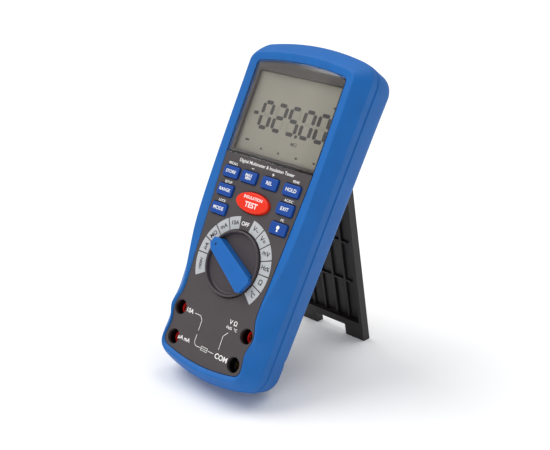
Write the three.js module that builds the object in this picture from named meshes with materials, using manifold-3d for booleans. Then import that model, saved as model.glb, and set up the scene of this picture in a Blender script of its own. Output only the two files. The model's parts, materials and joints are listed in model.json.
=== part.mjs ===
// A handheld digital multimeter and insulation tester that leans back on its tilt stand.
// Millimetres. The meter is drawn in its own frame: x to the right, y up along the case from its
// bottom edge, z out of the face, with the face panel's top at z = 0. A group then leans it back
// until the case's heel and the stand's feet both rest on the ground.

import * as THREE from 'three';
import { mergeVertices } from 'three/addons/utils/BufferGeometryUtils.js';
import Module from 'manifold-3d';

const wasm = await Module();
wasm.setup();

// ---- Driving dimensions -------------------------------------------------------------------

const LEAN = THREE.MathUtils.degToRad(26.5); // how far the face leans back from upright
const GAP = 0.3; // air left between pieces that touch on the real meter
const TALL = 1000; // longer than anything here, for cuts that go right through

// Case
const CASE_LENGTH = 209;
const CASE_TOP_HALF = 46.2;
const CASE_BOTTOM_HALF = 41;
const CASE_TOP_ARC = 175;
const CASE_BOTTOM_ARC = 121;
const CASE_CORNER = 13.5;
const WALL = 3.6;
const CREST_Z = 1;
const SHOULDER_Z = -9; // where the rim's rounding meets the straight side
const PARTING_Z = -15;
const BACK_Z = -36.5;
const BACK_ROUND = 9.5;
const BACK_DRAFT = 1.2; // how much narrower the back is than the front, at the top
const BACK_DRAFT_FOOT = 3.7; // and at the bottom
const FLOOR_Z = -28; // inner floor of the rear cover
const HEEL_CUT = 0.5; // depth of the flat that the heel rests on

// Face
const PANEL_THICK = 2.6;
const LEDGE = 1.2; // how far the rim reaches under the panel
const LEDGE_Z = -PANEL_THICK - GAP;
const PANEL_SPLIT_Y = 134;
const LCD_HALF = 31.2;
const LCD_BOTTOM = 137.3;
const LCD_TOP = 187.3;

// Selector knob
const DIAL_Y = 71.3;
const KNOB_RADIUS = 20;
const KNOB_TOP = 1.8;
const DISH_Z = -1;
const POINTER_TOP = 5;
const POINTER_ANGLE = THREE.MathUtils.degToRad(60);
const SCALE_INNER = 20.8;
const SCALE_OUTER = 28.5;
const SHAFT_RADIUS = 3.5;
const SHAFT_END_Z = -12.9;

// Buttons
const BUTTON_W = 12.6;
const BUTTON_H = 7.3;
const BUTTON_DRAW_W = 1.0; // how much narrower a button is at its top
const BUTTON_DRAW_H = 1.3;
const BUTTON_CORNER = 1.3;
const BUTTON_TOP = 1.3;
const BUTTON_FLANGE = 0.8;
const TEST_W = 26;
const TEST_H = 12.6;
const TEST_TOP = 2;
const ROW_Y = [122.5, 111.1, 99.4];
const COLUMN_X = 24.1;

// Sockets: place, and the height of the insulating sleeve's top
const JACK_RADIUS = 4.6;
const WELL_RADIUS = 4.9;
const WELL_OUTER = 6.3;
const WELL_BOTTOM = -24;
const SLEEVE_TOP = -6.6;
const JACKS = [
  { name: '10a', x: -27.4, y: 35.7 },
  { name: 'volts', x: 27.4, y: 35.7 },
  { name: 'ma', x: -25.2, y: 17.8 },
  { name: 'com', x: 25.2, y: 17.8 },
];

// Boards and cells
const BOARD_TOP = -10.6;
const BOARD_THICK = 1.5;
const CELL_RADIUS = 7.1;
const CELL_LENGTH = 49.5;
const CELL_Z = -20;
const CELL_Y = [58, 73, 88, 103];

// Tilt stand
const HINGE_Y = 151.8;
const RECESS_Z = -31;
const STAND_DEPTH = 6;
const STAND_HALF = 27.7;
const HINGE_Z = RECESS_Z - STAND_DEPTH / 2 - GAP;
const STAND_OPEN = THREE.MathUtils.degToRad(40.9);
const STAND_LENGTH = 146; // before its feet are cut level
const STAND_SKIN = 2;
const STAND_FLANGE = 2.6;
const NOTCH_HALF = 12.6;
const NOTCH_DEPTH = 9;
const STAND_STOP = 5.9; // tab above the hinge that meets the recess floor when open
const PIN_RADIUS = 1.5;
const PIN_BORE = 1.6;
const RECESS_HALF = 29.3;
const RECESS_BOTTOM = 11.5;
const RECESS_TOP = 159.5;
const PIN_START = 20;
const PIN_END = 33.5;

// Battery door, in the floor of the stand's recess
const DOOR_W = 53;
const DOOR_H = 66;
const DOOR_Y = 80.5;
const DOOR_SCREW_X = 18;
const DOOR_SCREW_Y = DOOR_Y + DOOR_H / 2 - 4;
const DOOR_SCREW_RADIUS = 1.5;

// Seal between the two covers: a flat ring in a groove shared by both
const SEAL_OUTER_INSET = 1.1;
const SEAL_INNER_INSET = 2.4;
const SEAL_HALF_DEPTH = 0.8;

// Display stack, top and bottom of each layer
const WINDOW_Z = [-0.2, -1.9];
const BEZEL_Z = [-2.2, -5.4];
const LCD_Z = [-5.7, -7.8];
const BACKLIGHT_Z = [-8.1, -10.3];

// Keypad under the buttons
const MEMBRANE_Z = [-5.2, -6.4];
const KEYPAD_BOARD_Z = [-6.8, -8.2];

const LOOKS = {
  blue: { color: 0x2566b0, roughness: 0.55, metalness: 0 },
  seal: { color: 0x15315c, roughness: 0.8, metalness: 0 },
  panel: { color: 0x4d4846, roughness: 0.6, metalness: 0 },
  clear: { color: 0xb8b4a8, roughness: 0.08, metalness: 0 },
  lcd: { color: 0xa8a48c, roughness: 0.3, metalness: 0 },
  bezel: { color: 0x6b6560, roughness: 0.5, metalness: 0 },
  white: { color: 0xe8e8e4, roughness: 0.5, metalness: 0 },
  silver: { color: 0xc9cccf, roughness: 0.4, metalness: 0.3 },
  key: { color: 0x2a5fc0, roughness: 0.5, metalness: 0 },
  red: { color: 0xd42a20, roughness: 0.45, metalness: 0 },
  test: { color: 0xf04a1c, roughness: 0.45, metalness: 0 },
  knob: { color: 0x433f40, roughness: 0.6, metalness: 0 },
  black: { color: 0x1b1918, roughness: 0.6, metalness: 0 },
  rubber: { color: 0x26262a, roughness: 0.9, metalness: 0 },
  board: { color: 0x1d6b3a, roughness: 0.6, metalness: 0 },
  brass: { color: 0xc8a24a, roughness: 0.3, metalness: 1 },
  steel: { color: 0xb4b7ba, roughness: 0.3, metalness: 1 },
  ceramic: { color: 0xdedad0, roughness: 0.6, metalness: 0 },
  cell: { color: 0x3a3f46, roughness: 0.4, metalness: 0.2 },
};

// ---- Solids ---------------------------------------------------------------------------------

function solid(geometry) {
  const bare = geometry.clone();
  bare.deleteAttribute('normal');
  bare.deleteAttribute('uv');
  const merged = mergeVertices(bare, 1e-4);
  const mesh = new wasm.Mesh({
    numProp: 3,
    vertProperties: new Float32Array(merged.attributes.position.array),
    triVerts: new Uint32Array(merged.index.array),
  });
  return new wasm.Manifold(mesh);
}

function geometryOf(shape) {
  const mesh = shape.getMesh();
  const geometry = new THREE.BufferGeometry();
  geometry.setAttribute('position', new THREE.BufferAttribute(mesh.vertProperties, 3));
  geometry.setIndex(new THREE.BufferAttribute(mesh.triVerts, 1));
  return geometry;
}

function joined(shapes) {
  return shapes.reduce((whole, shape) => whole.add(shape));
}

function cutAll(shape, cutters) {
  return cutters.reduce((rest, cutter) => rest.subtract(cutter), shape);
}

// An upright prism of a closed outline, from z0 up to z1.
function prism(outline, z0, z1) {
  const shape = new THREE.Shape(outline);
  const geometry = new THREE.ExtrudeGeometry(shape, { depth: z1 - z0, bevelEnabled: false });
  return solid(geometry.translate(0, 0, z0));
}

function block(x0, x1, y0, y1, z0, z1) {
  const geometry = new THREE.BoxGeometry(x1 - x0, y1 - y0, z1 - z0);
  return solid(geometry.translate((x0 + x1) / 2, (y0 + y1) / 2, (z0 + z1) / 2));
}

// A round rod along z.
function rod(radius, x, y, z0, z1, sides = 20) {
  const geometry = new THREE.CylinderGeometry(radius, radius, z1 - z0, sides);
  return solid(geometry.rotateX(Math.PI / 2).translate(x, y, (z0 + z1) / 2));
}

// A round rod along x.
function crossRod(radius, x0, x1, y, z, sides = 20) {
  const geometry = new THREE.CylinderGeometry(radius, radius, x1 - x0, sides);
  return solid(geometry.rotateZ(Math.PI / 2).translate((x0 + x1) / 2, y, z));
}

function tube(outer, inner, x, y, z0, z1, sides = 20) {
  return rod(outer, x, y, z0, z1, sides).subtract(rod(inner, x, y, z0 - 1, z1 + 1, sides));
}

// A turned piece about z, from [radius, z] pairs that start and end on the axis.
function turned(profile, sides = 32) {
  const points = profile.map(([radius, z]) => new THREE.Vector2(radius, z));
  return solid(new THREE.LatheGeometry(points, sides).rotateX(Math.PI / 2));
}

function indexed(positions, index) {
  const geometry = new THREE.BufferGeometry();
  geometry.setAttribute('position', new THREE.Float32BufferAttribute(positions, 3));
  geometry.setIndex(index);
  return solid(geometry);
}

// A solid through a stack of outlines with equal point counts, given from the lowest up.
function loft(levels) {
  const count = levels[0].outline.length;
  const positions = levels.flatMap(({ z, outline }) => outline.flatMap((p) => [p.x, p.y, z]));
  const index = [];
  for (let level = 0; level < levels.length - 1; level += 1) {
    for (let i = 0; i < count; i += 1) {
      const a = level * count + i;
      const b = level * count + ((i + 1) % count);
      index.push(a, b, b + count, a, b + count, a + count);
    }
  }
  const last = (levels.length - 1) * count;
  const cap = (outline) => THREE.ShapeUtils.triangulateShape(outline, []);
  cap(levels[0].outline).forEach(([a, b, c]) => index.push(a, c, b));
  cap(levels[levels.length - 1].outline).forEach(([a, b, c]) => index.push(last + a, last + b, last + c));
  return indexed(positions, index);
}

// A closed ring whose section's corners each follow an outline of their own.
function ring(corners) {
  const count = corners[0].outline.length;
  const positions = corners.flatMap(({ z, outline }) => outline.flatMap((p) => [p.x, p.y, z]));
  const index = [];
  corners.forEach((corner, k) => {
    const next = (k + 1) % corners.length;
    for (let i = 0; i < count; i += 1) {
      const j = (i + 1) % count;
      const [a, b] = [k * count + i, k * count + j];
      const [c, d] = [next * count + j, next * count + i];
      index.push(a, b, c, a, c, d);
    }
  });
  return indexed(positions, index);
}

// ---- Outlines -------------------------------------------------------------------------------

// A smooth curve through [y, half-width] knots, given from the top down.
function widthThrough(knots) {
  const slope = (i) => {
    const [y0, h0] = knots[Math.max(i - 1, 0)];
    const [y1, h1] = knots[Math.min(i + 1, knots.length - 1)];
    return i === 0 || i === knots.length - 1 ? 0 : (h1 - h0) / (y1 - y0);
  };
  return (y) => {
    if (y >= knots[0][0]) return knots[0][1];
    if (y <= knots[knots.length - 1][0]) return knots[knots.length - 1][1];
    const i = knots.findIndex(([knotY]) => y > knotY) - 1;
    const [ya, ha] = knots[i];
    const [yb, hb] = knots[i + 1];
    const t = (y - ya) / (yb - ya);
    const span = yb - ya;
    const [ma, mb] = [slope(i) * span, slope(i + 1) * span];
    const t2 = t * t;
    const t3 = t2 * t;
    return (2 * t3 - 3 * t2 + 1) * ha + (t3 - 2 * t2 + t) * ma + (3 * t2 - 2 * t3) * hb + (t3 - t2) * mb;
  };
}

// The corner circle that touches a large end arc and a side.
function cornerAt(apexY, endRadius, corner, half, sign) {
  const centreX = half - corner;
  const reach = Math.sqrt((endRadius - corner) ** 2 - centreX ** 2);
  return {
    x: centreX,
    y: apexY - sign * (endRadius - reach),
    angle: Math.asin(centreX / (endRadius - corner)),
  };
}

// A shield-shaped outline: arched top and bottom, round corners, and sides of a given width.
// It runs anticlockwise from the middle of the bottom.
function shield(shape, inset = 0, sideSteps = 4) {
  const top = cornerAt(shape.top, shape.topArc, shape.topCorner, shape.half(shape.top), 1);
  const bottom = cornerAt(shape.bottom, shape.bottomArc, shape.bottomCorner, shape.half(shape.bottom), -1);
  const points = [];
  const around = (centreX, centreY, radius, from, to, steps) => {
    for (let i = 0; i < steps; i += 1) {
      const angle = from + ((to - from) * i) / steps;
      points.push(new THREE.Vector2(centreX + radius * Math.cos(angle), centreY + radius * Math.sin(angle)));
    }
  };
  const down = -Math.PI / 2;
  const up = Math.PI / 2;
  around(0, shape.bottom + shape.bottomArc, shape.bottomArc - inset, down, down + bottom.angle, 5);
  around(bottom.x, bottom.y, shape.bottomCorner - inset, down + bottom.angle, 0, 6);
  for (let i = 0; i < sideSteps; i += 1) {
    const y = bottom.y + (top.y - bottom.y) * (i / sideSteps) ** 1.5;
    points.push(new THREE.Vector2(shape.half(y) - inset, y));
  }
  around(top.x, top.y, shape.topCorner - inset, 0, up - top.angle, 7);
  around(0, shape.top - shape.topArc, shape.topArc - inset, up - top.angle, up, 5);
  const right = [...points, new THREE.Vector2(0, shape.top - inset)];
  const left = right.slice(1, -1).reverse().map((p) => new THREE.Vector2(-p.x, p.y));
  return [...right, ...left];
}

// A half-width that grows steadily from the bottom corners to the top ones.
function taperedHalf(bottomHalf, topHalf) {
  return (y) => THREE.MathUtils.mapLinear(
    THREE.MathUtils.clamp(y, CASE_CORNER, CASE_LENGTH - CASE_CORNER),
    CASE_CORNER, CASE_LENGTH - CASE_CORNER, bottomHalf, topHalf,
  );
}

const CASE = {
  top: CASE_LENGTH,
  topArc: CASE_TOP_ARC,
  topCorner: CASE_CORNER,
  bottom: 0,
  bottomArc: CASE_BOTTOM_ARC,
  bottomCorner: CASE_CORNER,
  half: taperedHalf(CASE_BOTTOM_HALF, CASE_TOP_HALF),
};

// The back's outline before its edge is rounded, drawn in by the draft.
const BACK = {
  top: CASE_LENGTH - BACK_DRAFT,
  topArc: CASE_TOP_ARC - BACK_DRAFT,
  topCorner: CASE_CORNER - BACK_DRAFT,
  bottom: BACK_DRAFT,
  bottomArc: CASE_BOTTOM_ARC - BACK_DRAFT,
  bottomCorner: CASE_CORNER - BACK_DRAFT,
  half: taperedHalf(CASE_BOTTOM_HALF - BACK_DRAFT_FOOT, CASE_TOP_HALF - BACK_DRAFT),
};

// The rim's highest line. It swells round the sockets and pinches in beside the knob.
const CREST = {
  top: 200.5,
  topArc: 185,
  topCorner: 6,
  bottom: 5.6,
  bottomArc: 130,
  bottomCorner: 7,
  half: widthThrough([
    [195, 39.8], [120, 39.8], [88, 38.4], [68, 35], [56, 32.2], [46.5, 31.6], [36, 34.8], [26.5, 31.6], [17, 33],
  ]),
};

// The rim's soft chamfer, as [share of the way in, share of the way up] from shoulder to crest.
const RIM_PROFILE = [[0.1, 0.14], [0.33, 0.4], [0.62, 0.68], [0.88, 0.9], [1, 1]];

// Where the rim's inner slope meets the face panel.
const FOOT = {
  top: 195.6,
  topArc: 200,
  topCorner: 3,
  bottom: 8.7,
  bottomArc: 130,
  bottomCorner: 5,
  half: widthThrough([
    [195, 34.5], [137, 34.5], [100, 32.7], [71, 31.2], [47, 30], [36, 32.9], [26, 30.9], [17, 31.8],
  ]),
};

function roundedRectangle(width, height, corner, x = 0, y = 0, steps = 4) {
  const points = [];
  for (let quarter = 0; quarter < 4; quarter += 1) {
    const sx = quarter === 0 || quarter === 3 ? 1 : -1;
    const sy = quarter < 2 ? 1 : -1;
    for (let i = 0; i <= steps; i += 1) {
      const angle = ((quarter + i / steps) * Math.PI) / 2;
      points.push(new THREE.Vector2(
        x + sx * (width / 2 - corner) + corner * Math.cos(angle),
        y + sy * (height / 2 - corner) + corner * Math.sin(angle),
      ));
    }
  }
  return points;
}

function ellipse(width, height, x = 0, y = 0, steps = 32) {
  return Array.from({ length: steps }, (_, i) => {
    const angle = (i / steps) * Math.PI * 2;
    return new THREE.Vector2(x + (width / 2) * Math.cos(angle), y + (height / 2) * Math.sin(angle));
  });
}

// A band round the dial. Angles are in degrees clockwise from the top.
function band(inner, outer, from, to, steps) {
  const at = (radius, degrees) => {
    const angle = THREE.MathUtils.degToRad(degrees);
    return new THREE.Vector2(radius * Math.sin(angle), DIAL_Y + radius * Math.cos(angle));
  };
  const far = Array.from({ length: steps + 1 }, (_, i) => at(outer, from + ((to - from) * i) / steps));
  const near = Array.from({ length: steps + 1 }, (_, i) => at(inner, to + ((from - to) * i) / steps));
  return [...far, ...near];
}

// ---- The assembly ---------------------------------------------------------------------------

const meter = new THREE.Group();
const stand = new THREE.Group();
meter.add(stand);

function piece(name, shape, look, parent = meter) {
  const mesh = new THREE.Mesh(geometryOf(shape), new THREE.MeshStandardMaterial(LOOKS[look]));
  mesh.name = name;
  parent.add(mesh);
  return mesh;
}

// The ground, as a plane in the meter's frame: height is measured along GROUND_UP.
const GROUND_UP = new THREE.Vector3(0, Math.cos(LEAN), Math.sin(LEAN));
const heelCentre = new THREE.Vector3(0, BACK_DRAFT + BACK_ROUND, BACK_Z + BACK_ROUND);
const GROUND = heelCentre.dot(GROUND_UP) - BACK_ROUND + HEEL_CUT;

// Case screws, from the back through the rear cover into the front cover's bosses.
const SCREW_PLACES = [
  { name: 'case_screw_top_left', x: -36.7, y: 186 },
  { name: 'case_screw_top_right', x: 36.7, y: 186 },
  { name: 'case_screw_bottom_left', x: -34.2, y: 26.2 },
  { name: 'case_screw_bottom_right', x: 34.2, y: 26.2 },
];
const SCREW_RADIUS = 1.5;
const SCREW_HEAD = 3;
const SCREW_TIP_Z = -8;
const BOSS_RADIUS = 3.2;
const COUNTERBORE_Z = -32.5;
const HEAD_THICK = 2.2;

function sealGroove(grow) {
  const outer = shield(CASE, SEAL_OUTER_INSET - grow);
  const inner = shield(CASE, SEAL_INNER_INSET + grow);
  const [low, high] = [PARTING_Z - SEAL_HALF_DEPTH - grow, PARTING_Z + SEAL_HALF_DEPTH + grow];
  return ring([
    { z: low, outline: outer },
    { z: high, outline: outer },
    { z: high, outline: inner },
    { z: low, outline: inner },
  ]);
}

// The outline part of the way from one outline to another.
function between(from, to, share) {
  return from.map((p, i) => p.clone().lerp(to[i], share));
}

function frontCover() {
  const sideSteps = 24;
  const outer = shield(CASE, 0, sideSteps);
  const inner = shield(CASE, WALL, sideSteps);
  const crest = shield(CREST, 0, sideSteps);
  const foot = shield(FOOT, 0, sideSteps);
  const ledge = shield(FOOT, LEDGE, sideSteps);
  const rounding = RIM_PROFILE.map(([share, rise]) => ({
    z: SHOULDER_Z + (CREST_Z - SHOULDER_Z) * rise,
    outline: between(outer, crest, share),
  }));
  const rim = ring([
    { z: PARTING_Z + GAP / 2, outline: outer },
    { z: SHOULDER_Z, outline: outer },
    ...rounding,
    { z: CREST_Z * 0.86, outline: between(crest, foot, 0.35) },
    { z: 0, outline: foot },
    { z: LEDGE_Z, outline: foot },
    { z: LEDGE_Z, outline: ledge },
    { z: LEDGE_Z - 2.1, outline: ledge },
    { z: SHOULDER_Z, outline: inner },
    { z: PARTING_Z + GAP / 2, outline: inner },
  ]);
  const bosses = SCREW_PLACES.map(({ x, y }) => rod(BOSS_RADIUS, x, y, PARTING_Z + GAP / 2, -4, 16));
  const wells = JACKS.map(({ x, y }) => rod(WELL_OUTER + GAP, x, y, WELL_BOTTOM, LEDGE_Z + 0.01, 24));
  const threads = SCREW_PLACES.map(({ x, y }) => rod(SCREW_RADIUS + GAP, x, y, -20, SCREW_TIP_Z + 1, 12));
  return cutAll(joined([rim, ...bosses]), [...wells, ...threads, sealGroove(GAP)]);
}

function rearCover() {
  const arcSteps = 4;
  const levels = [];
  for (let i = arcSteps; i >= 0; i -= 1) {
    const angle = ((i / arcSteps) * Math.PI) / 2;
    levels.push({
      z: BACK_Z + BACK_ROUND * (1 - Math.sin(angle)),
      outline: shield(BACK, BACK_ROUND * (1 - Math.cos(angle))),
    });
  }
  levels.push({ z: PARTING_Z - GAP / 2, outline: shield(CASE, 0) });
  const hollow = loft([
    { z: FLOOR_Z, outline: shield(BACK, WALL) },
    { z: 0, outline: shield(CASE, WALL) },
  ]);
  const bosses = SCREW_PLACES.map(({ x, y }) => rod(BOSS_RADIUS, x, y, FLOOR_Z - 1, PARTING_Z - GAP / 2, 16));
  const shell = joined([loft(levels).subtract(hollow), ...bosses]);
  const recess = prism(
    roundedRectangle(RECESS_HALF * 2, RECESS_TOP - RECESS_BOTTOM, 4, 0, (RECESS_TOP + RECESS_BOTTOM) / 2),
    -TALL, RECESS_Z,
  );
  const holes = SCREW_PLACES.flatMap(({ x, y }) => [
    rod(SCREW_RADIUS + GAP, x, y, -TALL, 0, 12),
    rod(SCREW_HEAD + GAP, x, y, -TALL, COUNTERBORE_Z, 16),
  ]);
  const doorway = prism(roundedRectangle(DOOR_W + 2 * GAP, DOOR_H + 2 * GAP, 3, 0, DOOR_Y), RECESS_Z - 1, FLOOR_Z + 1);
  const pinHoles = [-1, 1].map((side) => {
    const [near, far] = [side * (RECESS_HALF - 1), side * (PIN_END + GAP)];
    return crossRod(PIN_RADIUS + GAP, Math.min(near, far), Math.max(near, far), HINGE_Y, HINGE_Z, 16);
  });
  const whole = cutAll(shell, [recess, ...holes, doorway, ...pinHoles, sealGroove(GAP)]);
  return whole.trimByPlane(GROUND_UP.toArray(), GROUND);
}

piece('front_cover', frontCover(), 'blue');
piece('rear_cover', rearCover(), 'blue');
piece('case_seal', sealGroove(0), 'seal');

// ---- Face -----------------------------------------------------------------------------------

const BUTTONS = [
  { name: 'button_store', x: -COLUMN_X, y: ROW_Y[0] },
  { name: 'button_min_max', x: -9.5, y: ROW_Y[0] },
  { name: 'button_rel', x: 7.1, y: ROW_Y[0] },
  { name: 'button_hold', x: COLUMN_X, y: ROW_Y[0] },
  { name: 'button_range', x: -COLUMN_X, y: ROW_Y[1] },
  { name: 'button_exit', x: COLUMN_X, y: ROW_Y[1] },
  { name: 'button_mode', x: -COLUMN_X, y: ROW_Y[2] },
  { name: 'button_light', x: COLUMN_X, y: ROW_Y[2] },
];
const TEST_Y = 108.6;

// The part of the face outline above or below the split, pulled in by the running gap.
function faceHalf(upper, inset, z0, z1) {
  const whole = prism(shield(FOOT, inset, 24), z0, z1);
  const side = upper ? [0, 1, 0] : [0, -1, 0];
  const edge = upper ? PANEL_SPLIT_Y + inset : inset - PANEL_SPLIT_Y;
  return whole.trimByPlane(side, edge);
}

const scaleBands = [
  { name: 'dial_scale_left', from: -120, to: -10 },
  { name: 'dial_scale_right', from: 10, to: 130 },
];

function facePanel() {
  const keys = BUTTONS.map(({ x, y }) => prism(
    roundedRectangle(BUTTON_W + 2 * GAP, BUTTON_H + 2 * GAP, BUTTON_CORNER + GAP, x, y), -TALL, TALL,
  ));
  const test = prism(ellipse(TEST_W + 2 * GAP, TEST_H + 2 * GAP, 0, TEST_Y), -TALL, TALL);
  const knob = rod(KNOB_RADIUS + 0.4, 0, DIAL_Y, -TALL, TALL, 48);
  const jacks = JACKS.map(({ x, y }) => rod(JACK_RADIUS, x, y, -TALL, TALL, 24));
  const scales = scaleBands.map(({ from, to }) => prism(
    band(SCALE_INNER - 1, SCALE_OUTER + GAP, from - 0.7, to + 0.7, 14).reverse(), -0.6, 1,
  ));
  return cutAll(faceHalf(false, GAP, -PANEL_THICK, 0), [...keys, test, knob, ...jacks, ...scales]);
}

piece('face_panel', facePanel(), 'panel');
scaleBands.forEach(({ name, from, to }) => {
  piece(name, prism(band(SCALE_INNER, SCALE_OUTER, from, to, 14).reverse(), -GAP, 0), 'silver');
});

function lcdOpening(grow, z0, z1) {
  return block(-LCD_HALF - grow, LCD_HALF + grow, LCD_BOTTOM - grow, LCD_TOP + grow, z0, z1);
}

const bezelPlate = faceHalf(true, LEDGE + GAP, BEZEL_Z[1], BEZEL_Z[0]);
piece('display_window', faceHalf(true, GAP, WINDOW_Z[1], WINDOW_Z[0]), 'clear');
piece('display_bezel', bezelPlate.subtract(lcdOpening(0, -TALL, TALL)), 'bezel');
piece('lcd_glass', lcdOpening(0.9, LCD_Z[1], LCD_Z[0]), 'lcd');
piece('backlight_panel', lcdOpening(0.5, BACKLIGHT_Z[1], BACKLIGHT_Z[0]), 'white');
piece('lcd_connector', block(-28, 28, 133.2, 135.7, BOARD_TOP + GAP, -6.1), 'rubber');

function keyShape(width, height, corner, top, outlineOf) {
  const flange = BUTTON_FLANGE * 2;
  const base = (z, dw, dh) => ({ z, outline: outlineOf(width + dw, height + dh, corner) });
  return loft([
    base(LEDGE_Z - 0.8, flange, flange),
    base(LEDGE_Z, flange, flange),
    base(LEDGE_Z + 0.01, 0, 0),
    base(top - 0.9, 0, 0),
    base(top - 0.2, -BUTTON_DRAW_W * 0.6, -BUTTON_DRAW_H * 0.6),
    base(top, -BUTTON_DRAW_W, -BUTTON_DRAW_H),
  ]);
}

BUTTONS.forEach(({ name, x, y }) => {
  const outline = (width, height, corner) => roundedRectangle(width, height, corner, 0, 0, 3);
  const key = piece(name, keyShape(BUTTON_W, BUTTON_H, BUTTON_CORNER, BUTTON_TOP, outline), 'key');
  key.position.set(x, y, 0);
});
const testKey = piece('button_test', keyShape(TEST_W, TEST_H, 0, TEST_TOP, (w, h) => ellipse(w, h)), 'test');
testKey.position.set(0, TEST_Y, 0);

piece('keypad_membrane', block(-31, 31, 93.5, 129.5, MEMBRANE_Z[1], MEMBRANE_Z[0]), 'rubber');
piece('keypad_board', block(-30.5, 30.5, 94, 129, KEYPAD_BOARD_Z[1], KEYPAD_BOARD_Z[0]), 'board');

// ---- Selector -------------------------------------------------------------------------------

function atDial(shape) {
  return shape.translate([0, DIAL_Y, 0]);
}

function knobDial() {
  return atDial(turned([
    [0, LEDGE_Z], [KNOB_RADIUS - 0.3, LEDGE_Z], [KNOB_RADIUS, LEDGE_Z + 0.3], [KNOB_RADIUS, KNOB_TOP - 0.7],
    [KNOB_RADIUS - 0.7, KNOB_TOP], [KNOB_RADIUS - 1.4, KNOB_TOP], [KNOB_RADIUS - 2, DISH_Z + 0.5],
    [KNOB_RADIUS - 2.6, DISH_Z], [0, DISH_Z],
  ], 48));
}

// The bar grip. It narrows to a blunt point at the mark and reaches over the dish's lip.
function knobPointer() {
  const bar = (grow) => [
    [3.9, -20.3], [5.6 + grow, -18.4], [4.2 + grow, 15.8], [1.9, 19.3],
    [-1.9, 19.3], [-4.2 - grow, 15.8], [-5.6 - grow, -18.4], [-3.9, -20.3],
  ].map(([x, y]) => new THREE.Vector2(x, y));
  const grip = loft([
    { z: DISH_Z + GAP, outline: bar(0.7) },
    { z: POINTER_TOP - 0.8, outline: bar(0.2) },
    { z: POINTER_TOP, outline: bar(-0.5) },
  ]);
  const lip = tube(KNOB_RADIUS + 4, KNOB_RADIUS - 2.4, 0, 0, -4, KNOB_TOP + GAP, 48);
  return atDial(grip.subtract(lip).rotate([0, 0, THREE.MathUtils.radToDeg(POINTER_ANGLE)]));
}

piece('knob_dial', knobDial(), 'knob');
piece('knob_pointer', knobPointer(), 'blue');
piece('knob_shaft', rod(SHAFT_RADIUS, 0, DIAL_Y, SHAFT_END_Z, LEDGE_Z - GAP, 20), 'white');
piece('selector_rotor', tube(14.5, SHAFT_RADIUS + GAP, 0, DIAL_Y, BOARD_TOP + GAP, -9.2, 28), 'white');
piece('knob_seal', tube(SHAFT_RADIUS + 2.2, SHAFT_RADIUS + GAP, 0, DIAL_Y, -4.8, LEDGE_Z - GAP, 20), 'rubber');
piece('detent_spring', tube(14.2, 10.6, 0, DIAL_Y, -8.8, -8.2, 28), 'steel');

// ---- Sockets --------------------------------------------------------------------------------

function jackBlock() {
  const wells = JACKS.map(({ x, y }) => rod(WELL_OUTER, x, y, WELL_BOTTOM, LEDGE_Z, 24));
  const base = prism(roundedRectangle(52, 26, 4, 0, 26.7), WELL_BOTTOM, WELL_BOTTOM + 2.4);
  const hollows = JACKS.map(({ x, y }) => rod(WELL_RADIUS, x, y, WELL_BOTTOM + 1.4, TALL, 24));
  return cutAll(joined([base, ...wells]), hollows);
}

piece('jack_block', jackBlock(), 'black');
JACKS.forEach(({ name, x, y }) => {
  const low = WELL_BOTTOM + 1.4 + GAP;
  piece(`jack_sleeve_${name}`, tube(3.55, 2.85, x, y, low, SLEEVE_TOP, 20), name === 'com' ? 'black' : 'red');
  piece(`jack_contact_${name}`, tube(2.5, 2.05, x, y, low, SLEEVE_TOP - 1.5, 16), 'brass');
});

// ---- Inside ---------------------------------------------------------------------------------

function mainBoard() {
  const plate = prism(roundedRectangle(76, 143, 3, 0, 118), BOARD_TOP - BOARD_THICK, BOARD_TOP);
  const shaftHole = rod(SHAFT_RADIUS + GAP, 0, DIAL_Y, -TALL, TALL, 20);
  const posts = SCREW_PLACES.map(({ x, y }) => rod(BOSS_RADIUS + GAP, x, y, -TALL, TALL, 16));
  return cutAll(plate, [shaftHole, ...posts]);
}

function cellTray() {
  const [x, y0, y1] = [CELL_LENGTH / 2 + 1.8, CELL_Y[0] - 9, CELL_Y[3] + 9];
  const walls = block(-x, x, y0, y1, FLOOR_Z + GAP, -12.5);
  const cavity = block(-x + 1.2, x - 1.2, y0 + 1.2, y1 - 1.2, -TALL, -13.2);
  return walls.subtract(cavity).subtract(rod(SHAFT_RADIUS + 1, 0, DIAL_Y, -TALL, TALL, 16));
}

function battery(y) {
  const body = crossRod(CELL_RADIUS, -CELL_LENGTH / 2, CELL_LENGTH / 2 - 1, y, 0, 16);
  const cap = crossRod(2.7, 0, CELL_LENGTH / 2, y, 0, 12);
  return body.add(cap);
}

piece('main_board', mainBoard(), 'board');
piece('battery_holder', cellTray(), 'black');
CELL_Y.forEach((y, i) => {
  piece(`battery_${i + 1}`, battery(y), 'cell').position.z = CELL_Z - 0.6;
});

const FUSES = [
  { name: 'fuse_10a', y: 128, radius: 5 },
  { name: 'fuse_ma', y: 143, radius: 3 },
];
const FUSE_Z = -21;
FUSES.forEach(({ name, y, radius }) => {
  piece(name, crossRod(radius, -17, 17, y, FUSE_Z, 16), 'ceramic');
  [-1, 1].forEach((side) => {
    const x = side * 13.5;
    const clip = block(x - 2, x + 2, y - radius - 1.4, y + radius + 1.4, FUSE_Z - 1, BOARD_TOP - BOARD_THICK - GAP);
    const seat = crossRod(radius + GAP, x - 3, x + 3, y, FUSE_Z, 16);
    const label = side < 0 ? 'left' : 'right';
    piece(`${name}_clip_${label}`, clip.subtract(seat), 'brass');
  });
});

piece('buzzer', rod(8, 22, 172, -20, BOARD_TOP - BOARD_THICK - GAP, 20), 'black');

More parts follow.
